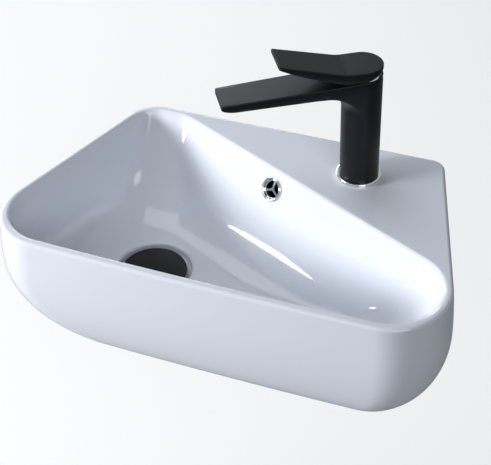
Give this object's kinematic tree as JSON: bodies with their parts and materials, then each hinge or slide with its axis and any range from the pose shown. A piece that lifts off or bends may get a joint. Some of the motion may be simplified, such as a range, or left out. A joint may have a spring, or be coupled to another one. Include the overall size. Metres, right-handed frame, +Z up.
{
  "type": "wash basin",
  "caption": "Small wall-hung wash basin with a slanting bowl, a corner tap shelf, a flat-spout lever mixer, an overflow and a push waste.",
  "frame": {"origin": "midway between the two wall fixing holes, on the basin's back face", "axes": "+X along the wall to the right as the user faces it, +Y into the wall, +Z up"},
  "size_m": [0.4492, 0.2521, 0.32],
  "materials": {
    "ceramic": "gloss",
    "black": "satin",
    "chrome": "polished",
    "rubber": "matte",
    "brass": "machined",
    "plastic": "matte",
    "steel": "zinc plated",
    "disc": "lapped"
  },
  "bodies": {
    "basin": {"basin_body": "ceramic", "overflow_ring": "chrome", "overflow_spider": "chrome", "waste_top_gasket": "rubber", "waste_body": "brass", "click_sleeve": "plastic", "click_spring": "steel", "taper_gasket": "rubber", "slip_washer": "plastic", "back_nut": "brass", "tap_body": "black", "base_ring": "chrome", "base_gasket": "rubber", "aerator_housing": "black", "aerator_insert": "plastic", "aerator_washer": "rubber", "cartridge_base": "plastic", "port_seals": "rubber", "fixed_disc": "disc", "cartridge_housing": "plastic", "retaining_nut": "brass", "cover_dome": "chrome", "fixing_stud": "steel", "horseshoe_gasket": "rubber", "horseshoe_plate": "steel", "stud_nut": "steel"},
    "plug": {"waste_cap": "black", "cap_seal": "rubber", "click_plunger": "brass"},
    "swivel": {"rotor": "plastic", "pivot_pin": "steel"},
    "lever_arm": {"lever": "black", "stem": "steel", "grub_screw": "steel", "screw_plug": "black"},
    "mixing_disc": {"moving_disc": "disc", "disc_carrier": "plastic"}
  },
  "joints": [
    {"name": "plug_push", "type": "slide", "parent": "basin", "child": "plug", "axis": [0, 0, 1], "range_m": [0, 0.008], "deforming": ["click_spring"]},
    {"name": "lever_swivel", "type": "hinge", "parent": "basin", "child": "swivel", "pos_m": [0.0894, -0.0469, 0.17], "axis": [0, 0, 1], "range_deg": [-45, 45]},
    {"name": "lever_lift", "type": "hinge", "parent": "swivel", "child": "lever_arm", "pos_m": [0.0894, -0.0469, 0.177], "axis": [-0.5476, 0.8368, 0], "range_deg": [0, 16]},
    {"name": "disc_slide", "type": "slide", "parent": "swivel", "child": "mixing_disc", "axis": [-0.8368, -0.5476, 0], "range_m": [0, 0.00336]}
  ],
  "couplings": [
    {"joint": "disc_slide", "follows": "lever_lift", "m_per_rad": 0.012}
  ]
}
